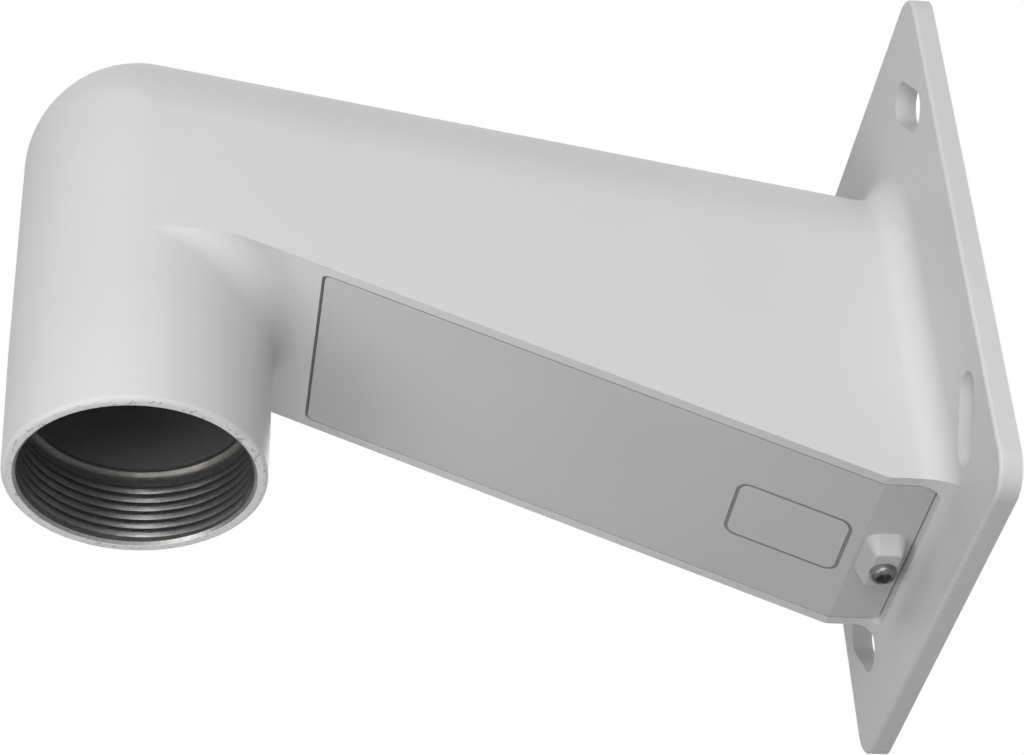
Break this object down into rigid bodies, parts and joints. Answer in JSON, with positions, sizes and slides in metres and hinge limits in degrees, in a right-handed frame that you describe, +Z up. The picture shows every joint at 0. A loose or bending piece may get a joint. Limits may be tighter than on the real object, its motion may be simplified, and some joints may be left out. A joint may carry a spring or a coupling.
{
  "type": "gooseneck camera wall bracket",
  "caption": "Wall bracket for a surveillance camera: plate with slanted slots, hollow rising arm with a screwed cable cover underneath, and a short neck with an internal pipe thread.",
  "frame": {"origin": "centre of the wall plate's back face", "axes": "+X out of the wall along the arm, +Z up, +Y to the side"},
  "size_m": [0.1934, 0.11, 0.136],
  "materials": {
    "casting_paint": "satin",
    "cover_paint": "satin",
    "screw_steel": "satin"
  },
  "bodies": {
    "root": {"bracket_casting": "casting_paint", "access_cover": "cover_paint", "cover_screw": "screw_steel"}
  },
  "joints": []
}
